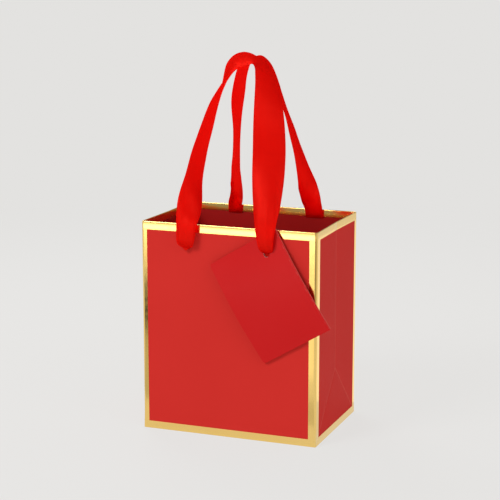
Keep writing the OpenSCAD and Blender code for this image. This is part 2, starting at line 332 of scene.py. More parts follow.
def makePaperMaterial(name, fibre, wearAndHighlightGroup):
    # Printed card rubbed at its folds, with a painted highlight along the tag's fold, its white
    # middle seen where it is cut, or flecked board; the inner card is a darker copy that paints the
    # shade inside the bag
    look = {**paperBase, **paperFinish[name]}
    material, tree, shader = newMaterial(name)
    place = objectPlace(tree)
    grain = addGroup(tree, fibre, place, **{"Fibre Scale": look["fibre"]})
    body = mixColour(tree, grain[look["mix"]], look["dark"], look["light"])
    if "wornAndHighlightColour" in look:
        wearAndHighlight = addGroup(tree, wearAndHighlightGroup, place, Amount=look["wearAndHighlight"])
        body = mixColour(tree, wearAndHighlight["Mask"], body, look["wornAndHighlightColour"])
    if "fleck" in look:
        flecks = mapRange(tree, addNoise(tree, place, look["fleckScale"], 5.0), *look["fleckBand"])
        body = mixColour(tree, flecks, body, look["fleck"])
    fillInputs(tree, shader, {
        "Base Color": body, "Specular IOR Level": look["gloss"],
        "Roughness": mapRange(tree, grain["Height"], *noiseBand, *look["roughness"]),
        "Normal": addBump(tree, grain["Height"], look["grain"] * mm)})
    return material


def makeFoilMaterial(wearAndHighlightGroup):
    # Hot-stamped gold foil: mirror-like, with the slight ripple of the card under it
    look = foilFinish
    material, tree, shader = newMaterial("goldFoil")
    place = objectPlace(tree)
    ripple = addNoise(tree, place, look["rippleScale"], 1.0)
    grain = addNoise(tree, place, look["grainScale"], 1.0)
    body = mixColour(tree, ripple, look["dark"], look["light"])
    wearAndHighlight = addGroup(tree, wearAndHighlightGroup, place, Amount=look["wearAndHighlight"])
    fillInputs(tree, shader, {
        "Base Color": mixColour(tree, wearAndHighlight["Mask"], body, look["wornAndHighlightColour"]), "Metallic": 1.0,
        "Roughness": mapRange(tree, grain, *noiseBand, *look["roughness"]),
        "Normal": addBump(tree, ripple, look["ripple"] * mm, look["rippleShare"])})
    return material


def makeSatinMaterial():
    # Satin weave: long floats along the ribbon, a fine cross thread, and a corded selvedge
    look = satinFinish
    material, tree, shader = newMaterial("ribbonSatin")
    coord = addNode(tree, "ShaderNodeAttribute", attribute_name="ribbonCoord").outputs["Vector"]
    parts = addNode(tree, "ShaderNodeSeparateXYZ", {0: coord}).outputs
    threads = addNode(tree, "ShaderNodeMapping", {"Vector": coord, "Scale": look["threads"]})
    floats = addNoise(tree, threads.outputs[0], 1.0, 3.0)
    weft = addMath(tree, "SINE", addMath(tree, "MULTIPLY", parts["Y"], 2 * math.pi / look["weft"]))
    selvedge = mapRange(tree, addMath(tree, "ABSOLUTE", parts["X"]), *look["selvedge"])
    cord = addMath(tree, "MULTIPLY", selvedge, addMath(tree, "MULTIPLY", weft, 0.5))
    cloud = addNoise(tree, objectPlace(tree), look["cloudScale"], 2.0)
    body = mixColour(tree, cloud, look["dark"], look["light"])
    shade = mixColour(tree, floats, look["threadDark"], look["threadLight"])
    rough = mapRange(tree, floats, *noiseBand, *look["roughness"])
    cross = addMath(tree, "MULTIPLY", weft, look["weftShare"])
    fine = addBump(tree, addMath(tree, "ADD", floats, cross), look["weave"] * mm)
    weave = addBump(tree, cord, look["cord"] * mm, Normal=fine)
    fillInputs(tree, shader, {
        "Base Color": mixColour(tree, look["threadShare"], body, shade),
        "Roughness": rough, "Normal": weave, "Specular IOR Level": 0.0})
    through = addShader(tree, "BsdfTranslucent", look["through"])
    cloth = mixShaders(tree, look["throughShare"], shader.outputs[0], through)
    # the floats shine in the colour of the dye
    gloss = addShader(tree, "BsdfAnisotropic", look["gloss"], Roughness=rough, Normal=weave)
    setSurface(tree, mixShaders(tree, look["glossShare"], cloth, gloss))
    return material


def meshObject(name, points, faces, finishes, materialIndex=None):
    mesh = bpy.data.meshes.new(name)
    mesh.from_pydata([Vector(p) * mm for p in points], [], faces)
    for finish in finishes:
        mesh.materials.append(finish)
    if materialIndex is not None:
        mesh.polygons.foreach_set("material_index", materialIndex)
    mesh.update()
    return addObject(name, mesh)


def setAttribute(mesh, name, kind, values, domain="POINT"):
    made = mesh.attributes.new(name, kind, domain)
    made.data.foreach_set("vector" if kind == "FLOAT_VECTOR" else "value", values)


def applyModifiers(piece):
    graph = bpy.context.evaluated_depsgraph_get()
    mesh = bpy.data.meshes.new_from_object(piece.evaluated_get(graph))
    mesh.name = piece.name
    old = piece.data
    piece.modifiers.clear()
    piece.data = mesh
    if old.users == 0 and isinstance(old, bpy.types.Mesh):
        bpy.data.meshes.remove(old)


def cutAway(piece, cutters):
    # Takes the cutters out of the piece; the cut faces get the cutters' material
    for cutter in cutters:
        modifier = piece.modifiers.new("cut", "BOOLEAN")
        modifier.object, modifier.operation, modifier.solver = cutter, "DIFFERENCE", "EXACT"
        modifier.material_mode = "TRANSFER"
    applyModifiers(piece)
    for cutter in cutters:
        bpy.data.objects.remove(cutter)


def punch(x, z, span, radius, finish):
    # A round cutter along Y
    steps = 40
    ring = [(radius * math.cos(2 * math.pi * k / steps), radius * math.sin(2 * math.pi * k / steps))
            for k in range(steps)]
    points = [(x + a, y, z + b) for y in span for a, b in ring]
    faces = [(k, (k + 1) % steps, steps + (k + 1) % steps, steps + k) for k in range(steps)]
    faces += [tuple(range(steps))[::-1], tuple(range(steps, 2 * steps))]
    cutter = meshObject("punch", points, faces, [finish])
    fixNormals(cutter)
    return cutter


def blockPiece(name, low, high, finish):
    xs, ys, zs = zip(low, high)
    points = [(x, y, z) for x in xs for y in ys for z in zs]
    faces = [(0, 1, 3, 2), (4, 6, 7, 5), (0, 4, 5, 1), (2, 3, 7, 6), (0, 2, 6, 4), (1, 5, 7, 3)]
    piece = meshObject(name, points, faces, [finish])
    fixNormals(piece)
    return piece


def fixNormals(piece):
    bm = bmesh.new()
    bm.from_mesh(piece.data)
    bmesh.ops.remove_doubles(bm, verts=bm.verts, dist=1e-7)
    bmesh.ops.recalc_face_normals(bm, faces=bm.faces)
    bm.to_mesh(piece.data)
    bm.free()


def smoothShade(piece, angle):
    piece.data.shade_smooth()
    piece.data.set_sharp_from_angle(angle=math.radians(angle))


def settleOnBag(piece, nodes):
    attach(piece, "bag")
    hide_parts(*nodes)


def catmull(stations, steps):
    # A smooth run through the stations, each a list of numbers
    out, last = [], len(stations) - 1
    for i in range(last):
        a, b, c, d = (stations[min(max(k, 0), last)] for k in (i - 1, i, i + 1, i + 2))
        for k in range(steps):
            t = k / steps
            out.append([0.5 * (2 * q + (r - p) * t + (2 * p - 5 * q + 4 * r - s) * t * t
                               + (3 * q - p - 3 * r + s) * t ** 3) for p, q, r, s in zip(a, b, c, d)])
    return out + [list(stations[last])]


halfW, _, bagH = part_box("front_panel")[1] / mm
halfD = (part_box("back_panel")[1] / mm).y
hemFoot = (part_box("front_hem")[0] / mm).z

card = {
    "thickness": 0.3,
    "cornerRound": 1.9,  # radius of the four upright folds
    "cornerFoot": (0.45, 12),  # share of that radius left at the foot, height where it is full
    "leastRound": 0.12, "cornerInset": 0.5,  # smallest radius, and most that the hem takes off it
    "rimRound": 0.35,
    "foot": ((0.1, 0), (0.03, 0.05), (0, 0.2)),  # the rounded foot: offset and height
    "frontHem": 1.6,  # panel face to hem face, over the rim board
    "backHem": 2.0,
    "hemLean": 0.18,  # share of the back hem's thickness lost at the very rim
    "sideHem": 0.64,
    "bulge": 0.55,  # how far the long panels stand out in the middle
    "gussetFold": 0.9,  # how far the middle of each gusset is drawn in
    "groove": 0.05,
    "grooveHalf": 0.3,
    "foldWearAndHighlight": 0.6,
    "foilTop": 6.0, "foilBottom": 5.7, "foilInside": 5.6,
    "foilFront": (4.4, 5.8), "foilSide": (7.0, 5.5),
    "foilLift": 0.015, "foilThickness": 0.04,
    "holeX": 32, "holeDrop": 17, "holeRadius": 2.2,
    "slits": ((-30.6, 11.8), (35.4, 14.8)), "slitHigh": 1.2, "slitSpan": (3.2, 1.5),
    "cornerColumn": 2.2,  # the last column of faces beside each corner
    "columns": (16, 12),  # along a panel and along a gusset
    "wallLevels": 20, "hemLevels": 5, "insideLevels": 10,
}
holeZ = bagH - card["holeDrop"]
quarterTurn = [22.5 * k for k in range(5)]  # degrees
sides = ("front", "right", "back", "left")


def spread(start, end, count):
    return [start + (end - start) * k / count for k in range(1, count)]


def sideColumns(half, left, right, count):
    # Places along one side, with lines on the foil borders
    near = half - card["cornerColumn"]
    return [-near, -half + left, *spread(-half + left, half - right, count), half - right, near]


def ringPoints(sideOffset, frontOffset, backOffset, radius):
    # One level of the sleeve seen from above: (x, y, side)
    x, yFront, yBack = halfW - sideOffset, halfD - frontOffset, halfD - backOffset
    front = sideColumns(halfW, *card["foilFront"], card["columns"][0])
    gusset = sideColumns(halfD, *card["foilSide"], card["columns"][1])

    def corner(cx, cy, start):
        angles = [math.radians(start + step) for step in quarterTurn]
        return [(cx + radius * math.cos(a), cy + radius * math.sin(a), "corner") for a in angles]

    return [*corner(-x + radius, -yFront + radius, 180), *((u, -yFront, "front") for u in front),
            *corner(x - radius, -yFront + radius, 270), *((x, u, "right") for u in gusset),
            *corner(x - radius, yBack - radius, 0), *((-u, yBack, "back") for u in front),
            *corner(-x + radius, yBack - radius, 90), *((-x, -u, "left") for u in gusset)]


def wallProfile():
    # The section of the folded card: (hem share 0 or 1, offset, height, zone)
    t, r = card["thickness"], card["rimRound"]
    foilLow, foilHigh = card["foilBottom"], bagH - card["foilTop"]
    foilInside = bagH - card["foilInside"]
    rows = [(0, t, 0, "inside")] + [(0, offset, z, "wall") for offset, z in card["foot"]]
    levels = [foilLow, *spread(foilLow, foilHigh, card["wallLevels"]), foilHigh]
    rows += [(0, 0, z, "wall") for z in levels]
    angles = [math.radians(step) for step in quarterTurn]
    rows += [(0, r * (1 - math.cos(a)), bagH - r * (1 - math.sin(a)), "rim") for a in angles]
    rows += [(1, r * (math.sin(a) - 1), bagH - r * (1 - math.cos(a)), "rim") for a in angles]
    levels = [foilInside, *spread(foilInside, hemFoot, card["hemLevels"]), hemFoot]
    rows += [(1, 0, z, "hem") for z in levels]
    rows += [(1, -t, hemFoot, "cut"), (1, -t, bagH - t, "inside"), (0, t, bagH - t, "inside")]
    rows += [(0, t, z, "inside") for z in spread(bagH - t, 0, card["insideLevels"])]
    return rows


def drawnIn(y, z):
    # How far a gusset is folded in at a place on it: a roof above, a triangle at the foot
    away = abs(y) / halfD
    return card["gussetFold"] * max(0.0, min(1 - away, z / halfD))


def creaseDistance(y, z):
    # The middle crease runs down to the point where the two slanting ones meet
    if z == halfD:
        return math.inf
    return abs(y) if z > halfD else abs(abs(y) + z - halfD) / math.sqrt(2)


def shapeCard(p):
    # Moves a point of the straight-sided sleeve to its folded and slightly bulging place
    x, y, z = p
    reach, margin = 2.5, 0.5  # mm from a side's face, and kept clear at its ends
    if abs(x) > halfW - reach and abs(y) < halfD - margin:
        line = creaseDistance(y, z) / card["grooveHalf"]
        x -= math.copysign(drawnIn(y, z) + card["groove"] * max(1 - line, 0), x)
    if abs(y) > halfD - reach:
        # the rim boards keep the panels flat from the hem upwards
        rise = math.sin(math.pi * min(max(z / hemFoot, 0), 1))
        y += math.copysign(card["bulge"] * rise * max(math.cos(math.pi * x / (2 * halfW)), 0), y)
    return Vector((x, y, z))


def faceFinish(zoneA, zoneB):
    # 0 printed card, 1 cut edge, 2 inner side, which is the same card painted darker as shade
    if zoneA == "cut" or (zoneA, zoneB) == ("hem", "cut"):
        return 1
    return 0 if "wall" in (zoneA, zoneB) or zoneA == "rim" else 2


def levelRing(share, offset, z, zone):
    # One closed ring of the sleeve; share is 0 on the outer card and 1 on the hem
    lean = card["hemLean"] * max(0.0, (z - bagH + card["foilInside"]) / card["foilInside"]) * share
    side, front = share * card["sideHem"] + offset, share * card["frontHem"] + offset
    back = (share - lean) * card["backHem"] + offset
    if zone == "rim":  # keeps the lip of the thin side hem from crossing itself
        half = card["sideHem"] / 2
        side = min(max(side, 0), half) if share == 0 else max(min(side, card["sideHem"]), half)
    # the folds are sharper at the foot, where the bottom flaps fill them
    least, fullHeight = card["cornerFoot"]
    turn = card["cornerRound"] * min(least + (1 - least) * z / fullHeight, 1)
    radius = max(card["leastRound"], turn - min(side, card["cornerInset"]))
    return [(x, y, z, name) for x, y, name in ringPoints(side, front, back, radius)]


def makeSleeve(finishes):
    profile = wallProfile()
    points = [p for level in profile for p in levelRing(*level)]
    count = len(points) // len(profile)
    faces, kinds, finishOf = [], [], []
    for row, level in enumerate(profile):
        nextLevel = profile[(row + 1) % len(profile)]
        start, nextStart = row * count, (row + 1) % len(profile) * count
        for k in range(count):
            j = (k + 1) % count
            faces.append((start + k, start + j, nextStart + j, nextStart + k))
            kinds.append(foilZone(level, nextLevel, points[start + k], points[start + j]))
            finishOf.append(faceFinish(level[3], nextLevel[3]))
    made = meshObject("cardSleeve", [p[:3] for p in points], faces, finishes, finishOf)
    setAttribute(made.data, "foilZone", "INT", kinds, "FACE")
    return made


def foilZone(levelA, levelB, a, b):
    # 0 bare card, 1 to 4 the sides in their order, 5 inside the rim
    (shareA, _, heightA, zoneA), (shareB, _, heightB, zoneB) = levelA, levelB
    if {"cut", "inside"} & {zoneA, zoneB}:
        return 0
    z = (heightA + heightB) / 2
    if 1 in (shareA, shareB):
        return 5 if z > bagH - card["foilInside"] else 0
    x, y = (a[0] + b[0]) / 2, (a[1] + b[1]) / 2
    onFace = "corner" not in (a[3], b[3])
    name = b[3] if a[3] == "corner" else a[3]
    if name == "corner":  # the upright fold is shared by the two sides
        if halfW - abs(x) > halfD - abs(y):
            name = "front" if y < 0 else "back"
        else:
            name = "right" if x > 0 else "left"
    along = {"front": x, "back": -x, "right": y, "left": -y}[name]
    wide = name in ("front", "back")
    half, (left, right) = (halfW, card["foilFront"]) if wide else (halfD, card["foilSide"])
    if name == "left":
        left, right = right, left
    inBorder = not onFace or along < -half + left or along > half - right
    if inBorder or z < card["foilBottom"] or z > bagH - card["foilTop"]:
        return sides.index(name) + 1
    return 0


def creaseSleeve(piece):
    # Cuts the gussets along their folds, then folds and bulges every point
    bm = bmesh.new()
    bm.from_mesh(piece.data)
    groove = card["grooveHalf"]
    lines = [s * groove * mm for s in (-1, 0, 1)]
    planes = [((0, s, 0), (0, 1, 0)) for s in lines]
    planes += [((0, 0, halfD * mm + s * math.sqrt(2)), (0, sign, 1))
               for sign in (-1, 1) for s in lines]
    innerX, innerY = (halfW - 2) * mm, (halfD - 0.6) * mm
    for place, normal in planes:
        middles = [(f, f.calc_center_median()) for f in bm.faces]
        gusset = [f for f, middle in middles if abs(middle.x) > innerX and abs(middle.y) < innerY]
        geometry = gusset + list({e for f in gusset for e in f.edges})
        geometry += list({v for f in gusset for v in f.verts})
        bmesh.ops.bisect_plane(bm, geom=geometry, plane_co=place, plane_no=normal, dist=1e-6)
    wearAndHighlight = bm.verts.layers.float.new("wearAndHighlight")
    cornerReach = 0.4
    for v in bm.verts:
        p = v.co / mm
        onGusset = abs(p.x) > halfW - 0.2 and abs(p.y) < halfD - 1
        line = creaseDistance(p.y, p.z) if onGusset else math.inf
        v[wearAndHighlight] = max(0.0, 1 - line / groove)
        if halfW - abs(p.x) < cornerReach and halfD - abs(p.y) < cornerReach:
            v[wearAndHighlight] = card["foldWearAndHighlight"]
        v.co = shapeCard(p) * mm
    bmesh.ops.recalc_face_normals(bm, faces=bm.faces)
    bm.to_mesh(piece.data)
    bm.free()


def finishTree(tree, geometry, finish, out):
    real = addNode(tree, "GeometryNodeRealizeInstances", {0: geometry})
    done = addNode(tree, "GeometryNodeSetMaterial",
                   {"Geometry": real.outputs[0], "Material": finish})
    tree.links.new(done.outputs[0], out["Geometry"])
    tree.is_modifier = True
    return tree


def makeFoilTree(finish):
    # Lifts one zone of the card a hair off the surface and gives it a thickness
    tree, given, out = newGroup("foilOverCard", "GeometryNodeTree", [
        ("Geometry", "Geometry"), ("Zone", "Int"), ("Lift", "Float"), ("Thickness", "Float")], [
        ("Geometry", "Geometry")])
    zone = addNode(tree, "GeometryNodeInputNamedAttribute", {"Name": "foilZone"}, data_type="INT")
    same = addNode(tree, "FunctionNodeCompare", {2: zone.outputs["Attribute"], 3: given["Zone"]},
                   data_type="INT", operation="EQUAL")
    part = addNode(tree, "GeometryNodeSeparateGeometry", {"Geometry": given["Geometry"],
                   "Selection": same.outputs[0]}, domain="FACE")
    normal = addNode(tree, "GeometryNodeInputNormal").outputs[0]
    lift, thick = (addVector(tree, "SCALE", normal, scale=given[key])
                   for key in ("Lift", "Thickness"))
    lifted = addNode(tree, "GeometryNodeSetPosition", {"Geometry": part.outputs["Selection"],
                                                       "Offset": lift}).outputs[0]
    under = addNode(tree, "GeometryNodeFlipFaces", {"Mesh": lifted})
    wall = addNode(tree, "GeometryNodeExtrudeMesh", {"Mesh": lifted, "Offset": thick,
                   "Offset Scale": 1.0, "Individual": False})
    both = addNode(tree, "GeometryNodeJoinGeometry")
    for part in (under.outputs[0], wall.outputs["Mesh"]):
        tree.links.new(part, both.inputs[0])
    merged = addNode(tree, "GeometryNodeMergeByDistance",
                     {"Geometry": both.outputs[0], "Distance": 2e-6})
    return finishTree(tree, merged.outputs[0], finish, out)


def setInputs(modifier, values):
    for item in modifier.node_group.interface.items_tree:
        if item.item_type == "SOCKET" and item.in_out == "INPUT" and item.name in values:
            modifier[item.identifier] = values[item.name]


def makeFoil(name, zone, nodes):
    piece = addObject(name, sleeve.data.copy())
    modifier = piece.modifiers.new("foil", "NODES")
    modifier.node_group = foilTree
    setInputs(modifier, {"Zone": zone, "Lift": card["foilLift"] * mm,
                         "Thickness": card["foilThickness"] * mm})
    applyModifiers(piece)
    piece.data.materials.clear()
    piece.data.materials.append(materials["goldFoil"])
    smoothShade(piece, 28)
    settleOnBag(piece, nodes)


ribbon = {
    "width": 24.0,
    "thickness": 0.26,
    "curlDepth": 3.0,
    "pleatDepth": 0.22,
    "pleats": 4.5,
    "alongSteps": 5,
    "acrossSteps": 48,
}

# Stations: x, y, z, seen width, turn of the width about Z, side that it curls towards, how far its
# edges hang below its middle, and tilt of its far edge; the last two are 0 where they are left out
frontLoop = [
    [-31.9, -47.4, 144, 4.2, 0, -0.6, 0.3], [-31.9, -49.6, 144.3, 6.5, 0, -0.7, 1.2],
    [-31.8, -51, 146, 11.2, 0, -0.8, 2.9], [-31.7, -51.6, 148.4, 13.4, 0, -1, 1.8],
    [-31.4, -51.4, 152.5, 14.6, 0, -1, 0.6], [-31.1, -50.6, 160, 15.8, 2, -1],
    [-31, -47, 170, 18, 34, -1], [-30.6, -39.6, 189.5, 22.4, 74, -1],
    [-28, -32.9, 211.7, 23.6, 83, -1], [-23.4, -27.9, 232, 23.2, 88, -1],
    [-19.2, -24.4, 249.3, 21.6, 96, -1], [-14.7, -23.8, 260.6, 18.6, 106, -1, 0, 3],
    [-9.8, -22, 270.4, 21.6, 121, -1, 0, 6], [-4.9, -18, 276.6, 23.3, 123, -0.9, 0, 17],
    [1.4, -13, 279.6, 23.5, 120, -0.6, 0, 21], [9, -10.6, 277.2, 23.6, 103, 0.3, 0, 9],
    [15.4, -11.8, 270, 23.4, 80, 0.8], [19.3, -16.5, 261.9, 23.6, 68, 1],
    [21.6, -21.5, 253.6, 23.8, 60, 1], [23.7, -26, 243.6, 24, 49, 1],
    [25.6, -30.2, 230.5, 24, 37, 1], [27.6, -35.3, 215, 24, 26, 1], [29, -41, 197, 23.2, 19, 1],
    [30.2, -46.8, 180, 20.4, 11, 1], [30.9, -51, 166.5, 16.8, 3, 1],
    [31.2, -52.2, 156, 13.6, 0, 1, 0.4], [31.6, -52.6, 151, 12, 0, 1, 1.2],
    [31.8, -52.4, 148.2, 11, 0, 1, 1.6], [32, -51.2, 146, 9, 0, 0.9, 1.2],
    [32, -49, 144, 4.4, 0, 0.6, 0.3],
]
backLoop = [
    [-30.6, 46.5, 130, 11, 0, -0.05], [-30.6, 46.5, 150, 11, 0, -0.05],
    [-30.6, 46.4, 153, 11, 0, -0.05], [-30.6, 45.7, 154.2, 11, 0, -0.1],
    [-30.5, 45.2, 156, 11, 0, -0.5], [-30.3, 45, 161.5, 10.8, 12, -1],
    [-30, 43.9, 168, 11.6, 52, -1], [-29.4, 41.6, 176, 14.8, 80, -1],
    [-28.2, 38.8, 186, 20, 94, -1], [-26.6, 35.9, 196.5, 23, 97, -1],
    [-24.5, 32.3, 207.5, 23.6, 99, -1], [-21.6, 27, 226.2, 23.6, 97, -1],
    [-18.6, 21.2, 247.4, 23.6, 87, -1], [-15.2, 17.4, 262, 23.6, 89, -1],
    [-9.8, 14.2, 274, 24, 90, -0.5], [-1.8, 12.8, 279.4, 24, 90, 0], [7, 14.8, 272.5, 24, 93, 0.5],
    [13.4, 19.4, 257.5, 24, 100, 1], [17.8, 24.3, 240, 23.6, 106, 1],
    [22.2, 28.4, 223.3, 23.6, 99, 1], [25.8, 33, 206.1, 23.4, 94, 1],
    [29.2, 37.8, 188, 20.5, 78, 1], [31.8, 41.8, 174, 16, 46, 1], [33.8, 44.2, 166, 14.2, 14, 1],
    [35, 45, 161.5, 13.8, 3, 1], [35.4, 45.2, 156, 14, 0, 0.5], [35.4, 45.7, 154.2, 14, 0, 0.1],
    [35.4, 46.4, 153, 14, 0, 0.05], [35.4, 46.5, 150, 14, 0, 0.05], [35.4, 46.5, 130, 14, 0, 0.05],
]


def curlOf(seen):
    # How a ribbon of full width drawn in to the seen width curls: half angle and depth
    full, most, flatCurl, tightCurl = ribbon["width"], ribbon["curlDepth"], 0.35, 2.35
    drawn = (full - seen) / full * 2
    rise = most * math.tanh(math.sqrt(max(3 * seen * (full - seen) / 8, 0.04)) / most)
    angle = flatCurl + tightCurl * min(max(drawn, 0), 1) ** 0.8
    return angle, rise / (1 - math.cos(angle))


def makeRibbonTree(finish):
    # Sweeps a curled strip along a line that carries its own widths, turns and curl
    tree, given, out = newGroup("ribbonRun", "GeometryNodeTree", [
        ("Geometry", "Geometry"), ("Full Width", "Float"), ("Pleats", "Float"),
        ("Pleat Depth", "Float"), ("Along", "Int"), ("Across", "Int"), ("Run Length", "Float")], [
        ("Geometry", "Geometry")])
    curve = addNode(tree, "GeometryNodeMeshToCurve", {"Mesh": given["Geometry"]}).outputs[0]
    grid = addNode(tree, "GeometryNodeMeshGrid", {"Size X": 1.0, "Size Y": 2.0,
                   "Vertices X": given["Along"], "Vertices Y": given["Across"]})
    position = addNode(tree, "GeometryNodeInputPosition").outputs[0]
    place = addNode(tree, "ShaderNodeSeparateXYZ", {0: position}).outputs

    def calc(operation, *values):
        return addMath(tree, operation, *values)

    def times(a, b):
        return calc("MULTIPLY", a, b)

    def scaled(vector, amount):
        return addVector(tree, "SCALE", vector, scale=amount)

    along, across = calc("ADD", place["X"], 0.5), place["Y"]

    def sample(name, kind="FLOAT"):
        value = addNode(tree, "GeometryNodeInputNamedAttribute", {"Name": name}, data_type=kind)
        return addNode(tree, "GeometryNodeSampleCurve", {
            "Curves": curve, "Value": value.outputs["Attribute"], "Factor": along},
            mode="FACTOR", data_type=kind).outputs

    half, centre, tangent = (sample("halfWidth")[key] for key in ("Value", "Position", "Tangent"))
    side = addVector(tree, "NORMALIZE", sample("side", "FLOAT_VECTOR")["Value"])
    push, curl, depth, hang = (sample(key)["Value"] for key in ("push", "curl", "depth", "hang"))
    up = addVector(tree, "NORMALIZE", addVector(tree, "CROSS_PRODUCT", tangent, side))
    angle = times(across, curl)
    reach = calc("SINE", calc("MINIMUM", curl, math.pi / 2))
    wide = calc("DIVIDE", times(half, calc("SINE", angle)), reach)
    arch = times(depth, calc("SUBTRACT", calc("COSINE", angle), calc("COSINE", curl)))
    # fine gathers grow as the ribbon is drawn in
    fullHalf = times(given["Full Width"], 0.5)
    gather = calc("SUBTRACT", 1.0, calc("DIVIDE", half, fullHalf))
    turns = times(times(across, given["Pleats"]), math.pi)
    ripple = times(calc("SINE", calc("ADD", turns, 0.8)), gather)
    rise = times(calc("ADD", arch, times(ripple, given["Pleat Depth"])), push)
    drop = times(times(hang, calc("POWER", across, 2.0)), -1.0)
    down = addNode(tree, "ShaderNodeCombineXYZ", {"Z": drop}).outputs[0]
    spot = addVector(tree, "ADD", addVector(tree, "ADD", centre, down),
                     addVector(tree, "ADD", scaled(side, wide), scaled(up, rise)))
    coord = addNode(tree, "ShaderNodeCombineXYZ", {"X": times(times(across, fullHalf), 1000.0),
                                                   "Y": times(along, given["Run Length"])})
    stored = addNode(tree, "GeometryNodeStoreNamedAttribute", {"Geometry": grid.outputs["Mesh"],
                     "Name": "ribbonCoord", "Value": coord.outputs[0]}, data_type="FLOAT_VECTOR")
    moved = addNode(tree, "GeometryNodeSetPosition",
                    {"Geometry": stored.outputs[0], "Position": spot})
    return finishTree(tree, moved.outputs[0], finish, out)


def sideVector(tangent, turn, tilt):
    turn, tilt = math.radians(turn), math.radians(tilt)
    flat = Vector((math.cos(turn) * math.cos(tilt), math.sin(turn) * math.cos(tilt), math.sin(tilt)))
    return (flat - tangent * flat.dot(tangent)).normalized()


def directions(places):
    last = len(places) - 1
    return [(places[min(k + 1, last)] - places[max(k - 1, 0)]).normalized()
            for k in range(last + 1)]


def runLine(name, run):
    # The ribbon's middle line as a mesh of edges, with its widths and turns as attributes
    line = bpy.data.meshes.new(name)
    places = [Vector(s[:3]) * mm for s in run]
    line.from_pydata(places, [(k, k + 1) for k in range(len(run) - 1)], [])
    _, _, _, seen, turns, pushes, hangs, tilts = zip(*run)
    seen = [min(width, ribbon["width"]) for width in seen]
    curls = [curlOf(width) for width in seen]
    for key, values in (("halfWidth", [width / 2 * mm for width in seen]), ("push", pushes),
                        ("curl", [c[0] for c in curls]), ("depth", [c[1] * mm for c in curls]),
                        ("hang", [max(hang, 0) * mm for hang in hangs])):
        setAttribute(line, key, "FLOAT", values)
    sides = [sideVector(*values) for values in zip(directions(places), turns, tilts)]
    setAttribute(line, "side", "FLOAT_VECTOR", [x for side in sides for x in side])
    return addObject(name, line), sum((b - a).length for a, b in zip(places, places[1:]))


def makeRibbon(name, stations):
    run = catmull([(s + [0, 0])[:8] for s in stations], ribbon["alongSteps"])
    piece, length = runLine(name, run)
    modifier = piece.modifiers.new("ribbon", "NODES")
    modifier.node_group = ribbonTree
    setInputs(modifier, {"Full Width": ribbon["width"] * mm, "Pleats": ribbon["pleats"],
                         "Pleat Depth": ribbon["pleatDepth"] * mm, "Along": len(run) * 2,
                         "Across": ribbon["acrossSteps"] + 1, "Run Length": length / mm})
    applyModifiers(piece)
    solid = piece.modifiers.new("thickness", "SOLIDIFY")
    solid.thickness, solid.offset = ribbon["thickness"] * mm, 0
    applyModifiers(piece)
    fixNormals(piece)
    smoothShade(piece, 50)
    return piece, length


knot = {
    "loopRadius": 2.9,
    "loopTurn": 0.92,  # share of a full turn
    "loopSteps": 12,
    "strand": 1.65,  # radius of the gathered ribbon
    "holeFill": (0.45, 0.2),  # what is added in the hole, and the share of the length it takes
    "end": (0.82, 0.18),  # shares of the length: where it starts to open, and how far that runs
    "endWide": 5.1, "endThin": 1.3, "endCurve": 1.2,
    "ridges": 6, "ridgeHigh": 0.13, "ridgeTwist": 0.15,
    "ringSteps": 28,
    "threadReach": 4, "threadStep": 0.5,  # where the weave is read on it
}


def knotPath(side):
    # Out of the hole, once round itself and through, then down
    x, z = side * card["holeX"], holeZ
    y = -halfD + card["frontHem"]
    points = [(x, -51.0, z), (x, -49.5, z), (x, y - 0.5, z), (x, y + 1.2, z)]
    radius = knot["loopRadius"]
    for k in range(knot["loopSteps"] + 1):
        a = 2 * math.pi * k / knot["loopSteps"] * knot["loopTurn"]
        points.append((x + radius * (math.sin(a) * 0.9 + 0.2 * math.sin(2 * a)) * side,
                       y + 3.2 + 1.5 * math.sin(1.5 * a),
                       z + radius * (math.cos(a) - 0.35) + 0.5 * math.cos(2 * a)))
    points += [(x - side * 0.6, y + 4.6, z - 0.5), (x - side * 0.2, y + 4.6, z - 2.5),
               (x + side * 0.6, y + 4.2, z - 5), (x + side * 1.2, y + 3.6, z - 8)]
    return points


def makeKnot(name, side, nodes):
    # Gathered ribbon: a ridged round strand, opening to a flat cut end
    places = [Vector(p) for p in catmull(knotPath(side), 5)]
    steps, last, points = knot["ringSteps"], len(places) - 1, []
    ring = [2 * math.pi * j / steps for j in range(steps)]
    (fill, fillShare), (endStart, endLength) = knot["holeFill"], knot["end"]
    normal = Vector((0, 0, 1))
    for k, (p, t) in enumerate(zip(places, directions(places))):
        normal = (normal - t * normal.dot(t)).normalized()
        across = t.cross(normal)
        ending = min(max((k / last - endStart) / endLength, 0), 1)
        filling = max(1 - k / (fillShare * last), 0)
        strand = knot["strand"] + fill * filling
        wide = strand + knot["endWide"] * ending ** knot["endCurve"]
        thin = strand - knot["endThin"] * ending
        for a in ring:
            ridge = 1 + knot["ridgeHigh"] * (1 - ending) * (1 - filling) * math.sin(
                knot["ridges"] * a + knot["ridgeTwist"] * k)
            points.append(p + normal * wide * ridge * math.cos(a)
                          + across * thin * ridge * math.sin(a))
    faces = [(k * steps + j, k * steps + (j + 1) % steps, (k + 1) * steps + (j + 1) % steps,
              (k + 1) * steps + j) for k in range(last) for j in range(steps)]
    faces += [tuple(range(steps))[::-1], tuple(last * steps + j for j in range(steps))]
    piece = meshObject(name, points, faces, [materials["ribbonSatin"]])
    coords = [x for k in range(last + 1) for a in ring
              for x in (knot["threadReach"] * math.cos(a), k * knot["threadStep"], 0)]
    setAttribute(piece.data, "ribbonCoord", "FLOAT_VECTOR", coords)
    fixNormals(piece)
    smoothShade(piece, 60)
    settleOnBag(piece, nodes)
    return piece


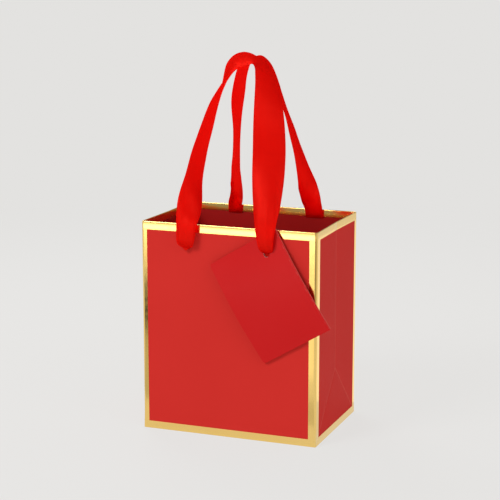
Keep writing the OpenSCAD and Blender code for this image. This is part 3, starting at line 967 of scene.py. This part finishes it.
tag = {
    "width": 59.0, "height": 83.0,
    "tilt": 31.0,  # degrees it hangs off upright
    "thickness": 0.4,
    "cornerRound": 2.5, "cornerSteps": 8,
    # how much of the paler colour goes along the fold: a painted highlight on the rounded spine,
    # partly rubbed card
    "foldRound": 0.7, "foldSteps": 8, "foldWearAndHighlight": 0.6,
    "holeIn": 14.5, "holeDown": 13.3, "holeRadius": 2.4, "punchSpan": (-60, -40),
    "bend": (26.15, 38.0),  # from the fold edge, where the front leaf starts and ends its bend; the script works these places out but does not bend the leaf there
    "backLeafY": -48.8,
    "frontLeafY": -49.8,
    "arch": 3.0,  # how far the whole tag bows off the bag along its length
    "bow": 1.4,
    "lift": 0.8,
    "rows": 48, "columns": 36,
    "trim": 0.02,  # taken off the top and the foot, so that the rounded corners don't close up
}


def tagPlace(u, v, y):
    # u runs from the fold towards the open side, v down from the top edge
    tilt = math.radians(tag["tilt"])
    x, z = tag["holeIn"] - u, tag["holeDown"] - v
    y -= tag["arch"] * math.sin(math.pi * v / tag["height"])
    return Vector((card["holeX"] + x * math.cos(tilt) - z * math.sin(tilt), y,
                   holeZ + x * math.sin(tilt) + z * math.cos(tilt)))


def tagRow(v):
    # Places across one leaf at height v, stopping short where the open corners are rounded
    r, end, start = tag["cornerRound"], tag["width"], tag["foldRound"]
    near = min(v, tag["height"] - v)
    if near < r:
        end -= r - math.sqrt(max(r * r - (r - near) ** 2, 0))
    return [start + (end - start) * k / tag["columns"] for k in range(tag["columns"] + 1)]


def leafCurve(u, v):
    # The front leaf stands a little off the back one and leans in towards its foot
    side = u / tag["width"]
    tall = v / tag["height"]
    return -(tag["bow"] * math.sin(math.pi * min(side * 0.9, 1)) * math.sin(math.pi * tall) +
             tag["lift"] * side * (1 - 0.7 * tall))


def tagFold(v):
    # Half a turn from the front leaf to the back leaf
    t, front, back = tag["thickness"], tag["frontLeafY"], tag["backLeafY"]
    radius = (back - front + t) / 2
    angles = [math.pi * k / tag["foldSteps"] for k in range(tag["foldSteps"] + 1)]
    return [(tag["foldRound"] - tag["foldRound"] * math.sin(a), v,
             (front - t + back) / 2 - (radius - t / 2) * math.cos(a)) for a in angles]


def makeLeaf(name, baseY, curve, withFold):
    # One leaf as a closed thin sheet
    t, height, corner, steps = (tag[key] for key in ("thickness", "height", "cornerRound",
                                                     "cornerSteps"))
    levels = [corner * k / steps for k in range(steps)]
    levels += [corner + (height - 2 * corner) * k / tag["rows"] for k in range(tag["rows"] + 1)]
    levels += [height - corner * (steps - 1 - k) / steps for k in range(steps)]
    levels[0], levels[-1] = tag["trim"], height - tag["trim"]
    rows = [[(u, v, baseY - t / 2 + curve(u, v)) for u in tagRow(v)] for v in levels]
    if withFold:
        rows = [tagFold(v) + row for v, row in zip(levels, rows)]
    count = len(rows[0])
    points = [tagPlace(*p) for row in rows for p in row]
    faces = [(i * count + j, i * count + j + 1, (i + 1) * count + j + 1, (i + 1) * count + j)
             for i in range(len(rows) - 1) for j in range(count - 1)]
    piece = meshObject(name, points, faces, [materials["tagCard"], materials["cardCore"]])
    # the two columns on the fold's rounding take the paler colour: a painted highlight, partly rubbed
    # card
    wearAndHighlight = [tag["foldWearAndHighlight"] if withFold and j in (3, 4) else 0.0 for j in range(count)]
    setAttribute(piece.data, "wearAndHighlight", "FLOAT", wearAndHighlight * len(rows))
    solid = piece.modifiers.new("thickness", "SOLIDIFY")
    solid.thickness, solid.offset, solid.material_offset_rim = t * mm, 0, 1
    applyModifiers(piece)
    fixNormals(piece)
    cutAway(piece, [punch(card["holeX"], holeZ, tag["punchSpan"], tag["holeRadius"],
                          materials["cardCore"])])
    smoothShade(piece, 40)
    return piece


def makeTag():
    back = makeLeaf("tagBackLeaf", tag["backLeafY"], lambda u, v: 0, True)
    front = makeLeaf("tagFrontLeaf", tag["frontLeafY"], leafCurve, False)
    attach(back, "tag")
    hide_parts("tag_back_leaf", "tag_fold")
    bendY = tag["frontLeafY"] - tag["thickness"]
    start, end = (tagPlace(u, tag["holeDown"], bendY) for u in tag["bend"])
    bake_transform(front)
    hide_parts("tag_front_margin", "tag_front_flap")


makeCamera()
makeStudio()
print("camera, light and floor")

fibreGroup, wearAndHighlightGroup = makeFibreGroup(), makeWearAndHighlightGroup()
materials = {name: makePaperMaterial(name, fibreGroup, wearAndHighlightGroup) for name in paperFinish}
materials["goldFoil"] = makeFoilMaterial(wearAndHighlightGroup)
materials["ribbonSatin"] = makeSatinMaterial()
print("materials")

sleeve = makeSleeve([materials["bagCard"], materials["cardCore"], materials["innerCardPaintedShade"]])
creaseSleeve(sleeve)
foilTree = makeFoilTree(materials["goldFoil"])
for zone, side in enumerate(sides, 1):
    makeFoil(f"{side}Foil", zone, [f"{side}_foil_frame"])
makeFoil("innerFoil", len(sides) + 1, ["inner_foil_band"])
print("foil borders")

cutters = [punch(side * card["holeX"], holeZ, (-halfD - 3, -halfD + 6), card["holeRadius"],
                 materials["cardCore"]) for side in (-1, 1)]
slitTop = bagH - card["foilInside"]
slitDeep, slitNear = card["slitSpan"]
for x, width in card["slits"]:
    slitLow = (x - width / 2, halfD - slitDeep, slitTop - card["slitHigh"])
    slitHigh = (x + width / 2, halfD - slitNear, slitTop)
    cutters.append(blockPiece("slitCutter", slitLow, slitHigh, materials["innerCardPaintedShade"]))
cutAway(sleeve, cutters)
smoothShade(sleeve, 12)
settleOnBag(sleeve, ["front_panel", "back_panel", "left_gusset", "right_gusset",
                                 "front_hem", "back_hem", "left_hem", "right_hem"])
print("card sleeve")

cadFinishes = {
    "bagCard": ["front_bottom_flap", "back_bottom_flap", "left_bottom_flap", "right_bottom_flap"],
    "greyBoard": ["front_rim_board", "back_rim_board", "base_board"],
}
for finish, nodes in cadFinishes.items():
    for node in nodes:
        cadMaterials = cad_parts[node].data.materials
        cadMaterials.clear()
        cadMaterials.append(materials[finish])
tabLow, tabHigh = (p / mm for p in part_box("side_seam_tab"))
seamTab = blockPiece("sideSeamTab", (tabLow.x + card["cornerRound"], tabLow.y, tabLow.z), tabHigh,
                     materials["bagCard"])
settleOnBag(seamTab, ["side_seam_tab"])
print("boards and flaps")

knots = [makeKnot(f"{name}Knot", side, [f"front_{name}_knot", f"front_{name}_ribbon_tail"])
         for name, side in (("left", -1), ("right", 1))]
ribbonTree = makeRibbonTree(materials["ribbonSatin"])
frontRibbon, frontLength = makeRibbon("frontRibbon", frontLoop)
backRibbon, backLength = makeRibbon("backRibbon", backLoop)
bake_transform(frontRibbon)
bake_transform(backRibbon)
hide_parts("front_handle")
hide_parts("back_handle", "back_left_ribbon_tab", "back_right_ribbon_tab")
print(f"ribbons {frontLength:.3f} {backLength:.3f}")

makeTag()
print("tag")
